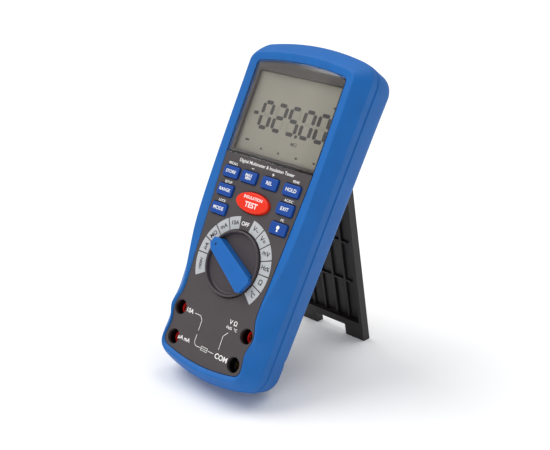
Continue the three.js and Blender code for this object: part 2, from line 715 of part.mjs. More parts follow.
function batteryDoor() {
  const plate = prism(roundedRectangle(DOOR_W, DOOR_H, 2.7, 0, DOOR_Y), RECESS_Z + 0.2, FLOOR_Z - 0.2);
  const holes = [-1, 1].map((side) => (
    rod(DOOR_SCREW_RADIUS + GAP, side * DOOR_SCREW_X, DOOR_SCREW_Y, -TALL, TALL, 12)
  ));
  return cutAll(plate, holes);
}

piece('battery_door', batteryDoor(), 'black');
[-1, 1].forEach((side) => {
  const label = side < 0 ? 'left' : 'right';
  const screw = rod(DOOR_SCREW_RADIUS, side * DOOR_SCREW_X, DOOR_SCREW_Y, RECESS_Z + 0.2, FLOOR_Z, 12);
  piece(`door_screw_${label}`, screw, 'steel');
});

SCREW_PLACES.forEach(({ name, x, y }) => {
  const head = rod(SCREW_HEAD, x, y, COUNTERBORE_Z - GAP - HEAD_THICK, COUNTERBORE_Z - GAP, 16);
  piece(name, head.add(rod(SCREW_RADIUS, x, y, COUNTERBORE_Z - 1, SCREW_TIP_Z, 12)), 'steel');
});

// ---- Tilt stand -----------------------------------------------------------------------------

// Drawn folded: the hinge is the origin, the panel hangs along -y, and its open side faces +z.
stand.position.set(0, HINGE_Y, HINGE_Z);
stand.rotation.x = STAND_OPEN;

function tiltStand() {
  const back = -STAND_DEPTH / 2;
  const front = STAND_DEPTH / 2;
  const end = -STAND_LENGTH;
  const inner = STAND_HALF - STAND_FLANGE;
  const skin = block(-STAND_HALF, STAND_HALF, end, 0, back, back + STAND_SKIN);
  const flanges = [-1, 1].map((side) => {
    const [near, far] = [side * inner, side * STAND_HALF];
    return block(Math.min(near, far), Math.max(near, far), end, 0, back, front);
  });
  const barrel = crossRod(STAND_DEPTH / 2, -STAND_HALF, STAND_HALF, 0, 0, 24);
  const tab = block(-22, 22, 0, STAND_STOP, back, back + 1.8);
  const ribs = [-15, -5, 5, 15].map((x) => block(x - 0.6, x + 0.6, end, 0, back, back + STAND_SKIN + 1.2));
  const rails = [-62, -92].map((y) => block(-20, 20, y - 0.7, y + 0.7, back, back + STAND_SKIN + 1.2));
  const beam = block(-STAND_HALF, STAND_HALF, end, -STAND_LENGTH + 24, back, front);
  const bores = [-1, 1].map((side) => {
    const [near, far] = [side * 19, side * (STAND_HALF + 1)];
    return crossRod(PIN_BORE, Math.min(near, far), Math.max(near, far), 0, 0, 16);
  });
  const groundHere = GROUND_UP.clone().applyAxisAngle(new THREE.Vector3(1, 0, 0), -STAND_OPEN);
  const drop = GROUND - new THREE.Vector3(0, HINGE_Y, HINGE_Z).dot(GROUND_UP);
  const solePlane = groundHere.toArray();
  const notchTop = drop / groundHere.y + NOTCH_DEPTH;
  const notch = block(-NOTCH_HALF, NOTCH_HALF, -TALL, notchTop, -TALL, TALL);
  const body = cutAll(joined([skin, ...flanges, barrel, tab, ...ribs, ...rails, beam]), [...bores, notch]);
  return body.trimByPlane(solePlane, drop);
}

piece('tilt_stand', tiltStand(), 'black', stand);
[-1, 1].forEach((side) => {
  const label = side < 0 ? 'left' : 'right';
  const [near, far] = [side * PIN_START, side * PIN_END];
  const pin = crossRod(PIN_RADIUS, Math.min(near, far), Math.max(near, far), HINGE_Y, HINGE_Z, 16);
  piece(`stand_pin_${label}`, pin, 'steel');
});

// ---- Standing on the ground, centred --------------------------------------------------------

meter.rotation.x = Math.PI / 2 - LEAN;
const group = new THREE.Group();
group.add(meter);
group.updateMatrixWorld(true);
const bounds = new THREE.Box3().setFromObject(group, true);
const middle = bounds.getCenter(new THREE.Vector3());
meter.position.set(-middle.x, -middle.y, -bounds.min.z);
group.updateMatrixWorld(true);

export default group;
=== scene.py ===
# A handheld multimeter leaning back on its tilt stand: the looks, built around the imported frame.
# Shapes are drawn in the meter's own millimetres: x to the right, y up along the case from its
# bottom edge, z out of the face, with the face panel's top at z = 0.
import json
import math

import bmesh
import bpy
from mathutils import Matrix, Vector


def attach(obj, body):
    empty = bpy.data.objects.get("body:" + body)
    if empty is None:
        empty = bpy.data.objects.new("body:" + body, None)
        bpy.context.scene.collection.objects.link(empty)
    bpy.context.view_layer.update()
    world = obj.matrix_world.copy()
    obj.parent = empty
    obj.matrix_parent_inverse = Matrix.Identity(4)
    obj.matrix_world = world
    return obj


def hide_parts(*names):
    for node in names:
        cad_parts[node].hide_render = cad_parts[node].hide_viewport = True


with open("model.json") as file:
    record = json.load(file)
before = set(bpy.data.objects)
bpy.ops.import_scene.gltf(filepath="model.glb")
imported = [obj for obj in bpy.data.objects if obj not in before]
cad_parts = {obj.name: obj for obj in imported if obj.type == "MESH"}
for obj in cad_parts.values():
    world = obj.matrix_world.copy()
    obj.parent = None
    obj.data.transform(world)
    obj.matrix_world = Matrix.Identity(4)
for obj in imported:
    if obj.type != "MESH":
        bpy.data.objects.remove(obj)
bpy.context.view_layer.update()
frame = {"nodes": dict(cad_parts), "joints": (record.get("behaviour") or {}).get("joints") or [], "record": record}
NODES = frame["nodes"]
JOINTS = {joint["name"]: joint for joint in frame["joints"]}
SLOT_OF = {part["node"]: part["material_slot"] for part in frame["record"]["subparts"]}
MM = 0.001

# ---- Driving dimensions, in millimetres, as the frame was designed ---------------------------

CASE_LENGTH = 209
CASE_TOP_HALF = 46.2
CASE_BOTTOM_HALF = 41
CASE_CORNER = 13.5
CREST_Z = 1
SHOULDER_Z = -9
PARTING_Z = -15
BACK_Z = -36.5
BACK_ROUND = 9.5
BACK_DRAFT = 1.2
BACK_DRAFT_FOOT = 3.7
WALL = 3.6
LEDGE = 1.2
LEDGE_Z = -2.9
PANEL_THICK = 2.6
GAP = 0.3
SEAM = 0.06
SPLIT_Y = 134
DIAL_Y = 71.3
KNOB_RADIUS = 20
SCALE_INNER = 20.8
SCALE_OUTER = 28.5
LCD_BOX = (-31.2, 31.2, 137.3, 187.3)
FRAME_RIGHT = 32.5
RECESS_Z = -31
RECESS_HALF = 29.3
RECESS_SPAN = (11.5, 159.5)
FLOOR_Z = -28
STAND_DEPTH = 6
STAND_HALF = 27.7
STAND_LENGTH = 146
NOTCH_HALF = 12.6
NOTCH_DEPTH = 9
DOOR_W, DOOR_H, DOOR_Y = 53, 66, 80.5
DOOR_SCREW_X = 18
SCREW_HEAD = 3
WELL_RADIUS = 6.6
SCREW_SHANK = 1.5
DOOR_SCREW_Y = DOOR_Y + DOOR_H / 2 - 4
OUTSIDE_Z = -60
JACKS = {"10a": (-27.4, 35.7), "volts": (27.4, 35.7), "ma": (-25.2, 17.8), "com": (25.2, 17.8)}
SCREWS = {
    "top_left": (-36.7, 186), "top_right": (36.7, 186),
    "bottom_left": (-34.2, 26.2), "bottom_right": (34.2, 26.2),
}
KEYS = {
    "store": (-24.1, 122.5), "min_max": (-9.5, 122.5), "rel": (7.1, 122.5), "hold": (24.1, 122.5),
    "range": (-24.1, 111.1), "exit": (24.1, 111.1), "mode": (-24.1, 99.4), "light": (24.1, 99.4),
}
TEST_Y = 108.6
TEST_SIZE = (26, 12.6)

# ---- The frame's places -----------------------------------------------------------------------

OUT = Vector(JOINTS["selector_turn"]["axis"]).normalized()
RIGHT = Vector((1, 0, 0))
UP = OUT.cross(RIGHT)
TURN = Matrix((RIGHT, UP, OUT)).transposed().to_4x4()
DIAL_CENTRE = Vector(JOINTS["selector_turn"]["pos_m"])
FACE = Matrix.Translation(DIAL_CENTRE - UP * DIAL_Y * MM) @ TURN @ Matrix.Scale(MM, 4)
HINGE = Vector(JOINTS["stand_fold"]["pos_m"])
OPEN_ANGLE = math.radians(-JOINTS["stand_fold"]["range_deg"][0])
STAND = Matrix.Translation(HINGE) @ TURN @ Matrix.Rotation(OPEN_ANGLE, 4, "X") @ Matrix.Scale(MM, 4)
HINGE_LOCAL = FACE.inverted() @ HINGE

# ---- Camera, light and floor ------------------------------------------------------------------

CAMERA_AIM = FACE @ Vector((7.1, 100.9, -16.7))
CAMERA_DISTANCE = 0.580
CAMERA_AZIMUTH = math.radians(41.87)
CAMERA_ELEVATION = math.radians(20.48)
CAMERA_ROLL = math.radians(1.93)
CAMERA_LENS = 63.9
SKY_STRENGTH = 0.5
FLOOR_REACH = 8


def add_camera():
    away = Vector((
        math.cos(CAMERA_ELEVATION) * math.sin(CAMERA_AZIMUTH),
        -math.cos(CAMERA_ELEVATION) * math.cos(CAMERA_AZIMUTH),
        math.sin(CAMERA_ELEVATION),
    ))
    level = Vector((0, 0, 1)).cross(away).normalized()
    above = away.cross(level)
    side = level * math.cos(CAMERA_ROLL) + above * math.sin(CAMERA_ROLL)
    data = bpy.data.cameras.new("camera")
    data.lens = CAMERA_LENS
    data.clip_start = 0.01
    camera = bpy.data.objects.new("camera", data)
    camera.matrix_world = Matrix.Translation(CAMERA_AIM + away * CAMERA_DISTANCE) @ Matrix(
        (side, away.cross(side), away)).transposed().to_4x4()
    bpy.context.scene.collection.objects.link(camera)
    bpy.context.scene.camera = camera


def add_light(name, source, spread, strength):
    """A broad, even light that comes from a direction."""
    data = bpy.data.lights.new(name, "SUN")
    data.angle = math.radians(spread)
    data.energy = strength
    light = bpy.data.objects.new(name, data)
    light.rotation_euler = Vector(source).to_track_quat("Z", "Y").to_euler()
    bpy.context.scene.collection.objects.link(light)


def add_studio():
    world = bpy.data.worlds.new("studio")
    world.use_nodes = True
    background = world.node_tree.nodes["Background"]
    background.inputs["Color"].default_value = (1, 1, 1, 1)
    background.inputs["Strength"].default_value = SKY_STRENGTH
    bpy.context.scene.world = world
    bpy.context.scene.view_settings.view_transform = "Standard"
    add_light("key", (-0.55, -0.3, 1), 40, 1.5)
    add_light("top", (0.1, 0.45, 1), 50, 0.9)
    add_light("front", (0.1, -1, 0.3), 30, 0.6)
    mesh = bpy.data.meshes.new("floor")
    corners = [(x * FLOOR_REACH, y * FLOOR_REACH, 0) for x, y in ((-1, -1), (1, -1), (1, 1), (-1, 1))]
    mesh.from_pydata(corners, [], [(0, 1, 2, 3)])
    floor = bpy.data.objects.new("floor", mesh)
    bpy.context.scene.collection.objects.link(floor)
    mesh.materials.append(plastic("floor_white", (250, 250, 250), 0.75, grain=0.0, mottle=0.004))


# ---- Materials --------------------------------------------------------------------------------

def linear(rgb):
    return tuple(((c / 255 + 0.055) / 1.055) ** 2.4 if c > 10 else c / 255 / 12.92 for c in rgb)


def shaded(colour, factor):
    return tuple(min(c * factor, 1) for c in colour) + (1,)


def plastic(name, rgb, roughness, grain=0.02, grain_size=0.3, mottle=0.06, metallic=0.0, specular=0.35):
    """A moulded surface: cloudy colour, a fine grain in millimetres, and patchy gloss."""
    material = bpy.data.materials.new(name)
    material.use_nodes = True
    nodes, links = material.node_tree.nodes, material.node_tree.links
    shader = nodes["Principled BSDF"]
    shader.inputs["Metallic"].default_value = metallic
    shader.inputs["Specular IOR Level"].default_value = specular
    place = nodes.new("ShaderNodeTexCoord")

    def cloud(size, detail):
        node = nodes.new("ShaderNodeTexNoise")
        node.inputs["Scale"].default_value = 1 / (size * MM)
        node.inputs["Detail"].default_value = detail
        links.new(place.outputs["Object"], node.inputs["Vector"])
        return node.outputs["Fac"]

    tint = nodes.new("ShaderNodeValToRGB")
    tint.color_ramp.elements[0].position = 0.3
    tint.color_ramp.elements[1].position = 0.7
    tint.color_ramp.elements[0].color = shaded(linear(rgb), 1 - mottle)
    tint.color_ramp.elements[1].color = shaded(linear(rgb), 1 + mottle)
    links.new(cloud(14, 4), tint.inputs["Fac"])
    links.new(tint.outputs["Color"], shader.inputs["Base Color"])
    gloss = nodes.new("ShaderNodeMapRange")
    gloss.inputs["To Min"].default_value = max(roughness - 0.06, 0.02)
    gloss.inputs["To Max"].default_value = min(roughness + 0.06, 1)
    links.new(cloud(5, 3), gloss.inputs["Value"])
    links.new(gloss.outputs["Result"], shader.inputs["Roughness"])
    if grain:
        bump = nodes.new("ShaderNodeBump")
        bump.inputs["Strength"].default_value = 0.6
        bump.inputs["Distance"].default_value = grain * MM
        links.new(cloud(grain_size, 2), bump.inputs["Height"])
        links.new(bump.outputs["Normal"], shader.inputs["Normal"])
    return material


def clear_plastic(name):
    material = plastic(name, (255, 255, 255), 0.06, grain=0, mottle=0.01)
    shader = material.node_tree.nodes["Principled BSDF"]
    shader.inputs["Transmission Weight"].default_value = 1
    shader.inputs["IOR"].default_value = 1.49
    return material


def make_materials():
    return {
        "case_blue": plastic("soft_blue", (4, 96, 172), 0.55, grain=0.03, grain_size=0.35, mottle=0.05),
        "seal_dark": plastic("seal_navy", (16, 40, 92), 0.7),
        "panel_grey": plastic(
            "panel_charcoal", (70, 64, 66), 0.55, grain=0.03, grain_size=0.4, mottle=0.05),
        "window_clear": clear_plastic("window_clear"),
        "lcd_glass": plastic("lcd_polariser", (184, 179, 164), 0.35, grain=0, mottle=0.03),
        "bezel_grey": plastic("window_print", (98, 92, 88), 0.45, grain=0.01, mottle=0.04),
        "scale_silver": plastic(
            "scale_silver", (178, 181, 184), 0.38, grain=0.006, grain_size=0.15, mottle=0.04),
        "key_blue": plastic("key_blue", (8, 66, 148), 0.42, grain=0.015, grain_size=0.25),
        "test_orange": plastic(
            "test_orange", (228, 42, 10), 0.4, grain=0.015, grain_size=0.25, mottle=0.04),
        "knob_grey": plastic("knob_graphite", (68, 62, 65), 0.42, grain=0.015, mottle=0.05),
        "pointer_blue": plastic("pointer_blue", (10, 96, 174), 0.42, grain=0.015, mottle=0.04),
        "stand_black": plastic("stand_black", (30, 26, 25), 0.5, grain=0.03, grain_size=0.4, mottle=0.1),
        "black_plastic": plastic("inner_black", (14, 13, 13), 0.5),
        "socket_red": plastic("socket_red", (235, 20, 24), 0.35, grain=0),
        "black_rubber": plastic("rubber_black", (26, 26, 28), 0.8),
        "white_plastic": plastic("inner_white", (226, 226, 222), 0.5),
        "board_green": plastic("board_green", (20, 92, 48), 0.4, mottle=0.15),
        "brass": plastic("brass", (206, 164, 84), 0.25, grain=0.005, metallic=1),
        "steel": plastic("zinc_steel", (178, 180, 184), 0.3, grain=0.005, metallic=1),
        "ceramic_white": plastic("fuse_ceramic", (224, 220, 210), 0.5),
        "cell_jacket": plastic("cell_jacket", (58, 62, 70), 0.35, mottle=0.12),
        "ink_white": plastic("ink_white", (240, 240, 238), 0.5, grain=0.004, grain_size=0.2, mottle=0.02),
        "ink_black": plastic("ink_black", (34, 32, 34), 0.5, grain=0.004, grain_size=0.2, mottle=0.05),
        "lcd_on": plastic("lcd_segment", (84, 80, 78), 0.5, grain=0, mottle=0.06),
        "lcd_ghost": plastic("lcd_ghost", (176, 171, 156), 0.4, grain=0, mottle=0.02),
    }


LOOK = make_materials()


# ---- Mesh building ------------------------------------------------------------------------------

def temporary(mesh):
    thing = bpy.data.objects.new("temporary", mesh)
    bpy.context.scene.collection.objects.link(thing)
    return thing


def settled(thing):
    """The object's mesh with its modifiers applied. The object is used up."""
    bpy.context.view_layer.update()
    graph = bpy.context.evaluated_depsgraph_get()
    mesh = bpy.data.meshes.new_from_object(thing.evaluated_get(graph), depsgraph=graph)
    bpy.data.objects.remove(thing)
    return mesh


def mesh_of(points, faces):
    mesh = bpy.data.meshes.new("shape")
    mesh.from_pydata(points, [], faces)
    return mended(mesh)


def mended(mesh, merge=1e-4):
    bm = bmesh.new()
    bm.from_mesh(mesh)
    bmesh.ops.remove_doubles(bm, verts=bm.verts, dist=merge)
    bmesh.ops.recalc_face_normals(bm, faces=bm.faces)
    bm.to_mesh(mesh)
    bm.free()
    return mesh


def bevelled(mesh, width, segments=3, angle=35):
    thing = temporary(mesh)
    bevel = thing.modifiers.new("bevel", "BEVEL")
    bevel.width = width
    bevel.segments = segments
    bevel.limit_method = "ANGLE"
    bevel.angle_limit = math.radians(angle)
    bevel.use_clamp_overlap = True
    return settled(thing)


def combined(mesh, others, operation):
    thing = temporary(mesh)
    tools = [temporary(other) for other in others]
    for tool in tools:
        step = thing.modifiers.new("boolean", "BOOLEAN")
        step.operation = operation
        step.solver = "MANIFOLD"
        step.object = tool
    result = settled(thing)
    for tool in tools:
        bpy.data.objects.remove(tool)
    return result


def cut(mesh, *others):
    return combined(mesh, others, "DIFFERENCE")


def joined(mesh, *others):
    return combined(mesh, others, "UNION")


def gathered(meshes):
    bm = bmesh.new()
    for mesh in meshes:
        bm.from_mesh(mesh)
    result = bpy.data.meshes.new("gathered")
    bm.to_mesh(result)
    bm.free()
    return result


def piece(name, mesh, body, look, replaces=(), place=FACE, sharp=35):
    """Puts a mesh drawn in millimetres into the frame, on a body, with a look and a slot."""
    mesh.transform(place)
    mesh.name = name
    for face in mesh.polygons:
        face.use_smooth = True
    mesh.set_sharp_from_angle(angle=math.radians(sharp))
    mesh.materials.clear()
    mesh.materials.append(LOOK[look])
    thing = bpy.data.objects.new(name, mesh)
    bpy.context.scene.collection.objects.link(thing)
    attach(thing, body)
    if replaces:
        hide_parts(*replaces)
    return thing


def loft(levels, closed=False):
    """A solid through outlines of equal length, given as (z, outline); closed makes it a ring."""
    count = len(levels[0][1])
    points = [(x, y, z) for z, outline in levels for x, y in outline]
    faces = []
    for level in range(len(levels) if closed else len(levels) - 1):
        near, far = level * count, (level + 1) % len(levels) * count
        for i in range(count):
            j = (i + 1) % count
            faces.append((near + i, near + j, far + j, far + i))
    if not closed:
        faces.append(tuple(reversed(range(count))))
        faces.append(tuple(range((len(levels) - 1) * count, len(levels) * count)))
    return mesh_of(points, faces)


def plate(outlines, z0, z1, edge=0.0, edge_steps=2):
    """A flat plate with holes, its edges rounded. The first outline is the outside."""
    curve = bpy.data.curves.new("plate", "CURVE")
    curve.dimensions = "2D"
    curve.fill_mode = "BOTH"
    for outline in outlines:
        spline = curve.splines.new("POLY")
        spline.points.add(len(outline) - 1)
        for point, (x, y) in zip(spline.points, outline):
            point.co = (x, y, 0, 1)
        spline.use_cyclic_u = True
    curve.extrude = (z1 - z0) / 2 - edge
    curve.bevel_depth = edge
    curve.bevel_resolution = edge_steps
    curve.offset = -edge
    mesh = settled(temporary(curve))
    mesh.transform(Matrix.Translation((0, 0, (z0 + z1) / 2)))
    return mended(mesh, 1e-3)


def block(x0, x1, y0, y1, z0, z1):
    outline = [(x0, y0), (x1, y0), (x1, y1), (x0, y1)]
    return loft([(z0, outline), (z1, outline)])


def turned(profile, x=0.0, y=0.0, sides=64):
    """A piece turned about z, from (radius, z) pairs that close on themselves or on the axis."""
    bm = bmesh.new()
    rim = [bm.verts.new((radius, 0, z)) for radius, z in profile]
    edges = [bm.edges.new((rim[i], rim[(i + 1) % len(rim)])) for i in range(len(rim))]
    bmesh.ops.spin(
        bm, geom=rim + edges, axis=(0, 0, 1), cent=(0, 0, 0), steps=sides, angle=2 * math.pi, use_merge=True)
    mesh = bpy.data.meshes.new("turned")
    bm.to_mesh(mesh)
    bm.free()
    mesh.transform(Matrix.Translation((x, y, 0)))
    return mended(mesh, 1e-4)


def rod(radius, x, y, z0, z1, sides=48):
    return loft([(z, circle(radius, x, y, sides)) for z in (z0, z1)])


def cross_rod(radius, x0, x1, y, z, sides=48):
    mesh = rod(radius, 0, 0, x0, x1, sides)
    mesh.transform(Matrix.Translation((0, y, z)) @ Matrix.Rotation(math.pi / 2, 4, "Y"))
    return mesh


# ---- Outlines -----------------------------------------------------------------------------------

def circle(radius, x=0.0, y=0.0, sides=48):
    return ellipse(radius * 2, radius * 2, x, y, sides)


def ellipse(width, height, x=0.0, y=0.0, sides=72):
    angles = [2 * math.pi * i / sides for i in range(sides)]
    return [(x + width / 2 * math.cos(a), y + height / 2 * math.sin(a)) for a in angles]


def rounded(width, height, corner, x=0.0, y=0.0, steps=7):
    points = []
    for quarter, (sx, sy) in enumerate(((1, 1), (-1, 1), (-1, -1), (1, -1))):
        for i in range(steps + 1):
            a = (quarter + i / steps) * math.pi / 2
            points.append((
                x + sx * (width / 2 - corner) + corner * math.cos(a),
                y + sy * (height / 2 - corner) + corner * math.sin(a),
            ))
    return points


def smooth_through(knots):
    """A smooth curve through (y, half-width) knots, given from the top down."""
    def slope(i):
        if i in (0, len(knots) - 1):
            return 0
        (y0, h0), (y1, h1) = knots[i - 1], knots[i + 1]
        return (h1 - h0) / (y1 - y0)

    def half(y):
        if y >= knots[0][0]:
            return knots[0][1]
        if y <= knots[-1][0]:
            return knots[-1][1]
        i = next(k for k in range(len(knots)) if y > knots[k][0]) - 1
        (ya, ha), (yb, hb) = knots[i], knots[i + 1]
        span = yb - ya
        t = (y - ya) / span
        rise = (2 * t**3 - 3 * t**2 + 1) * ha + (3 * t**2 - 2 * t**3) * hb
        return rise + ((t**3 - 2 * t**2 + t) * slope(i) + (t**3 - t**2) * slope(i + 1)) * span

    return half


def tapered_half(bottom_half, top_half):
    def half(y):
        inside = min(max(y, CASE_CORNER), CASE_LENGTH - CASE_CORNER) - CASE_CORNER
        return bottom_half + (top_half - bottom_half) * inside / (CASE_LENGTH - 2 * CASE_CORNER)

    return half


# Each shield is arched at its top and bottom, with round corners and sides of a given half-width.
# An end is given as its y, its arc's radius and its corners' radius. CASE is the widest line, BACK
# the back before its edge is rounded, CREST the rim's highest line, FOOT where it meets the face.
CASE = {
    "top": (CASE_LENGTH, 175, CASE_CORNER),
    "bottom": (0, 121, CASE_CORNER),
    "half": tapered_half(CASE_BOTTOM_HALF, CASE_TOP_HALF),
}
BACK = {
    "top": (CASE_LENGTH - BACK_DRAFT, 175 - BACK_DRAFT, CASE_CORNER - BACK_DRAFT),
    "bottom": (BACK_DRAFT, 121 - BACK_DRAFT, CASE_CORNER - BACK_DRAFT),
    "half": tapered_half(CASE_BOTTOM_HALF - BACK_DRAFT_FOOT, CASE_TOP_HALF - BACK_DRAFT),
}
CREST = {
    "top": (200.5, 185, 6),
    "bottom": (5.6, 130, 7),
    "half": smooth_through([
        (195, 39.8), (120, 39.8), (88, 38.4), (68, 35), (56, 32.2),
        (46.5, 31.6), (36, 34.8), (26.5, 31.6), (17, 33),
    ]),
}
FOOT = {
    "top": (195.6, 200, 3),
    "bottom": (8.7, 130, 5),
    "half": smooth_through([
        (195, 34.5), (137, 34.5), (100, 32.7), (71, 31.2),
        (47, 30), (36, 32.9), (26, 30.9), (17, 31.8),
    ]),
}


def shield(shape, inset=0.0, side_steps=64):
    """The outline, anticlockwise from the middle of the bottom."""
    points = []

    def around(x, y, radius, start, stop, steps):
        for i in range(steps):
            a = start + (stop - start) * i / steps
            points.append((x + radius * math.cos(a), y + radius * math.sin(a)))

    def corner(apex, arc, radius, sign):
        x = shape["half"](apex) - radius
        reach = math.sqrt((arc - radius) ** 2 - x * x)
        return x, apex - sign * (arc - reach), math.asin(x / (arc - radius))

    (top, top_arc, top_corner), (bottom, bottom_arc, bottom_corner) = shape["top"], shape["bottom"]
    quarter = math.pi / 2
    x0, y0, a0 = corner(bottom, bottom_arc, bottom_corner, -1)
    x1, y1, a1 = corner(top, top_arc, top_corner, 1)
    around(0, bottom + bottom_arc, bottom_arc - inset, -quarter, a0 - quarter, 14)
    around(x0, y0, bottom_corner - inset, a0 - quarter, 0, 14)
    for i in range(side_steps):
        y = y0 + (y1 - y0) * (i / side_steps) ** 1.4
        points.append((shape["half"](y) - inset, y))
    around(x1, y1, top_corner - inset, 0, quarter - a1, 14)
    around(0, top - top_arc, top_arc - inset, quarter - a1, quarter, 14)
    points.append((0, top - inset))
    return points + [(-x, y) for x, y in points[-2:0:-1]]


def between(first, second, share):
    return [(a + (c - a) * share, b + (d - b) * share) for (a, b), (c, d) in zip(first, second)]


def clipped(outline, y, keep_above):
    """The part of a convex-sided outline above or below a level line."""
    kept = []
    for (xa, ya), (xb, yb) in zip(outline, outline[1:] + outline[:1]):
        if (ya > y) == keep_above:
            kept.append((xa, ya))
        if (ya > y) != (yb > y):
            share = (y - ya) / (yb - ya)
            kept.append((xa + (xb - xa) * share, y))
    return kept


# ---- Print --------------------------------------------------------------------------------------

INK_THICK = 0.03


def lettering(text, height, x, y, z, turn=0.0, bold=0.0):
    """Raised print with capitals of a given height, centred at x, y."""
    curve = bpy.data.curves.new("text", "FONT")
    curve.body = text
    curve.size = height * 1.42
    curve.align_x = "CENTER"
    curve.align_y = "CENTER"
    curve.space_line = 0.75
    curve.offset = bold
    curve.extrude = INK_THICK
    curve.resolution_u = 4
    mesh = settled(temporary(curve))
    mesh.transform(Matrix.Translation((x, y, z + INK_THICK)) @ Matrix.Rotation(turn, 4, "Z"))
    return mended(mesh, 1e-4)


def stroke(points, width, z):
    """A printed line through points, with square joints."""
    parts = []
    for (xa, ya), (xb, yb) in zip(points, points[1:]):
        length = math.hypot(xb - xa, yb - ya)
        part = block(-width / 2, length + width / 2, -width / 2, width / 2, 0, INK_THICK * 2)
        turn = Matrix.Rotation(math.atan2(yb - ya, xb - xa), 4, "Z")
        part.transform(Matrix.Translation((xa, ya, z)) @ turn)
        parts.append(part)
    return gathered(parts)


# ---- Case -----------------------------------------------------------------------------------------

GROOVE = 0.7
HALF_SEAM = 0.12

# The rim's section, as (share of the way in, share of the way up): 0 is the shoulder, 1 the crest
# and, for the way in, 2 the edge of the face.
RIM_PROFILE = [
    (0, -0.2), (0, 0.03), (0.1, 0.14), (0.33, 0.4), (0.62, 0.68), (0.88, 0.9),
    (1, 1), (1.35, 0.99), (1.96, 0.9), (2, 0.87),
]


def softened(points, rounds):
    """A broken line with its corners cut again and again. Its ends stay."""
    for _ in range(rounds):
        inner = []
        for (xa, ya), (xb, yb) in zip(points, points[1:]):
            inner += [(xa * near + xb * (1 - near), ya * near + yb * (1 - near)) for near in (0.75, 0.25)]
        points = [points[0], *inner[1:-1], points[-1]]
    return points


def front_cover():
    outer, crest, foot = shield(CASE), shield(CREST), shield(FOOT)
    levels = [
        (PARTING_Z + HALF_SEAM, shield(CASE, GROOVE)),
        (PARTING_Z + GROOVE + HALF_SEAM, outer),
        (-12, outer),
    ]
    for share, rise in softened(RIM_PROFILE, 3):
        z = SHOULDER_Z + (CREST_Z - SHOULDER_Z) * rise
        levels.append((z, between(outer, crest, share) if share <= 1 else between(crest, foot, share - 1)))
    levels += [
        (-0.3, foot),
        (LEDGE_Z, foot),
        (LEDGE_Z, shield(FOOT, LEDGE)),
        (LEDGE_Z - 2.1, shield(FOOT, LEDGE)),
        (SHOULDER_Z, shield(CASE, WALL)),
        (PARTING_Z + HALF_SEAM, shield(CASE, WALL)),
    ]
    rim = loft(levels, closed=True)
    wells = [rod(WELL_RADIUS, x, y, -24, LEDGE_Z + 0.01, 32) for x, y in JACKS.values()]
    piece("rim_front", cut(rim, *wells), "case", "case_blue", ["front_cover"], sharp=40)


def rear_cover():
    steps = 10
    levels = []
    for i in range(steps, -1, -1):
        a = i / steps * math.pi / 2
        z = BACK_Z + BACK_ROUND * (1 - math.sin(a))
        levels.append((z, shield(BACK, BACK_ROUND * (1 - math.cos(a)), 12)))
    levels.append((PARTING_Z - GROOVE - HALF_SEAM, shield(CASE, 0, 12)))
    levels.append((PARTING_Z - HALF_SEAM, shield(CASE, GROOVE, 12)))
    levels.sort(key=lambda level: level[0])
    hollow = loft([(FLOOR_Z, shield(BACK, WALL, 12)), (0, shield(CASE, WALL, 12))])
    low, high = RECESS_SPAN
    recess_outline = rounded(RECESS_HALF * 2, high - low, 4, 0, (low + high) / 2)
    recess = loft([(z, recess_outline) for z in (OUTSIDE_Z, RECESS_Z)])
    door_outline = rounded(DOOR_W + 2 * GAP, DOOR_H + 2 * GAP, 3, 0, DOOR_Y)
    doorway = loft([(z, door_outline) for z in (RECESS_Z - 1, FLOOR_Z + 1)])
    bores = [rod(SCREW_HEAD + GAP, x, y, OUTSIDE_Z, head_seat(y), 32) for x, y in SCREWS.values()]
    pins = [cross_rod(1.8, *sorted((s * 28, s * 33.8)), HINGE_LOCAL.y, HINGE_LOCAL.z, 32) for s in (-1, 1)]
    shell = cut(loft(levels), hollow, recess, doorway, *bores, *pins)
    shell = cut(shell, ground_block(FACE))
    piece("shell_rear", bevelled(shell, 0.3, 2, 45), "case", "case_blue", ["rear_cover"], sharp=40)


def head_seat(y):
    """How deep a case screw's head sits. The bottom ones are set deeper, where the back narrows."""
    return -32.5 if y > CASE_LENGTH / 2 else -30


def ground_block(place):
    """Everything under the ground, drawn in a piece's own millimetres."""
    reach = 0.4
    mesh = block(-reach, reach, -reach, reach, -reach, 0)
    mesh.transform(place.inverted())
    return mesh


# ---- Face -----------------------------------------------------------------------------------------

def sector(start, stop, inner=SCALE_INNER, outer=SCALE_OUTER, steps=10):
    """A piece of the dial's band, between angles in degrees clockwise from the top."""
    def at(radius, degrees):
        a = math.radians(degrees)
        return radius * math.sin(a), DIAL_Y + radius * math.cos(a)

    near = [at(inner, start + (stop - start) * i / steps) for i in range(steps + 1)]
    far = [at(outer, stop + (start - stop) * i / steps) for i in range(steps + 1)]
    return near + far


def face_panel():
    whole = clipped(shield(FOOT, GAP), SPLIT_Y - SEAM, False)
    holes = [rounded(13.2, 7.9, 1.6, x, y) for x, y in KEYS.values()]
    holes.append(ellipse(TEST_SIZE[0] + 0.6, TEST_SIZE[1] + 0.6, 0, TEST_Y))
    holes.append(circle(KNOB_RADIUS + 0.45, 0, DIAL_Y, 128))
    holes += [circle(4.6, x, y) for x, y in JACKS.values()]
    piece("face_plate", plate([whole, *holes], -PANEL_THICK, 0, 0.15), "case", "panel_grey", ["face_panel"])


SECTOR_TOP = 0.08

# The dial's silver sectors, in degrees clockwise from the top.
SECTORS = {
    "left": [(-120, -90.8), (-89.2, -70.8), (-69.2, -50.8), (-49.2, -30.8), (-29.2, -11.3)],
    "right": [(10, 29.2), (30.8, 49.2), (50.8, 69.2), (70.8, 89.2), (90.8, 109.2), (110.8, 130)],
}

